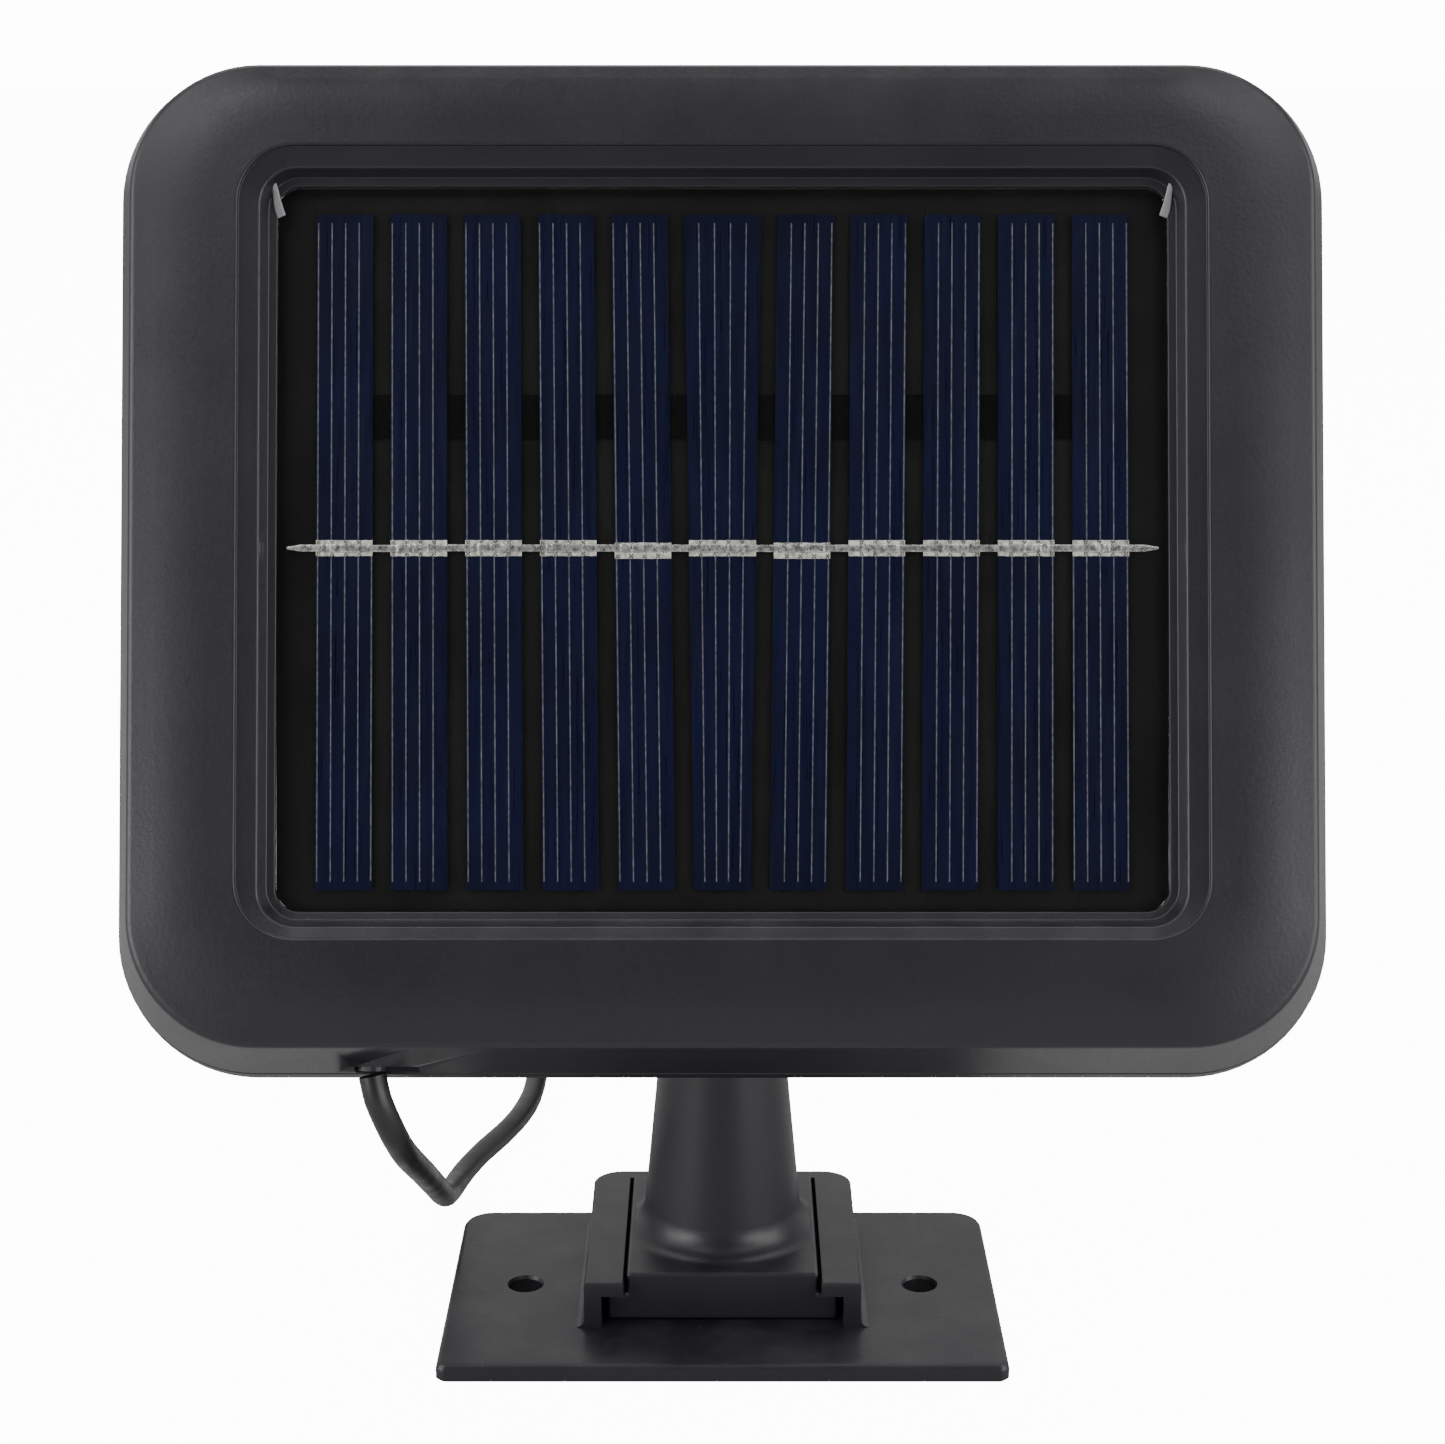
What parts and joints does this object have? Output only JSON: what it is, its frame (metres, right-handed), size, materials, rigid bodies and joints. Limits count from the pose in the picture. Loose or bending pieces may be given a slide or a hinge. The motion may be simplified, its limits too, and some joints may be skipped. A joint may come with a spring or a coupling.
{
  "type": "solar flood light panel unit",
  "caption": "Small framed solar charging panel with a lead, on a swivel and tilt post that slides into a flat wall plate; it powers a separate flood light.",
  "frame": {"origin": "centre of the wall plate's flat underside", "axes": "+Z out of the wall plate towards the post, -Y the way the panel faces and the way the foot slides out, +X to the panel's right as the viewer sees it"},
  "size_m": [0.1436, 0.1732, 0.1598],
  "materials": {
    "casing": "satin black moulded ABS",
    "bracket": "satin black moulded ABS, fine grain",
    "rubber": "moulded black rubber",
    "jacket": "smooth black cord jacket",
    "screw_steel": "stainless steel",
    "zinc": "bright zinc plate",
    "cell": "coated silicon, dark blue, with printed silver fingers",
    "solder": "tinned ribbon and solder",
    "board": "black laminate",
    "tape": "black tape",
    "resin": "clear potting resin",
    "sealant": "white silicone",
    "wire_red": "red wire insulation",
    "wire_black": "black wire insulation",
    "contact": "plated contact"
  },
  "bodies": {
    "wall_mount": {"wall_plate": "bracket"},
    "post": {"neck_post": "bracket"},
    "knuckle": {"knuckle": "bracket", "swivel_screw": "screw_steel", "swivel_washer": "zinc", "cord_lead": "jacket", "cord_coil": "jacket", "cord_tail": "jacket", "cord_tie": "rubber", "plug_body": "rubber", "plug_nut": "rubber", "plug_barrel": "contact"},
    "head": {"front_frame": "casing", "back_cover": "casing", "cover_gasket": "rubber", "panel_board": "board", "panel_resin": "resin", "panel_sealant": "sealant", "backing_tape": "tape", "tab_ribbon": "solder", "blocking_diode": "wire_black", "lead_inner": "jacket", "cord_grommet": "rubber", "cable_clamp": "casing", "pivot_bolt": "screw_steel", "pivot_nut": "zinc", "pivot_washer_right": "zinc", "pivot_washer_left": "zinc", "solar_cell_01": "cell", "solar_cell_02": "cell", "solar_cell_03": "cell", "solar_cell_04": "cell", "solar_cell_05": "cell", "solar_cell_06": "cell", "solar_cell_07": "cell", "solar_cell_08": "cell", "solar_cell_09": "cell", "solar_cell_10": "cell", "solar_cell_11": "cell", "cover_screw_1": "screw_steel", "cover_screw_2": "screw_steel", "cover_screw_3": "screw_steel", "cover_screw_4": "screw_steel", "clamp_screw_1": "screw_steel", "clamp_screw_2": "screw_steel", "terminal_positive": "solder", "terminal_negative": "solder", "wire_positive": "wire_red", "wire_negative": "wire_black"}
  },
  "joints": [
    {"name": "foot_slide", "type": "slide", "parent": "wall_mount", "child": "post", "axis": [0, -1, 0], "range_m": [0, 0.032]},
    {"name": "swivel", "type": "hinge", "parent": "post", "child": "knuckle", "pos_m": [0, 0.0046, 0.05], "axis": [0, 0, 1], "range_deg": [-60, 60]},
    {"name": "tilt", "type": "hinge", "parent": "knuckle", "child": "head", "pos_m": [0, 0.0046, 0.064], "axis": [-1, 0, 0], "range_deg": [-17, 58], "deforming": ["cord_lead"]}
  ]
}
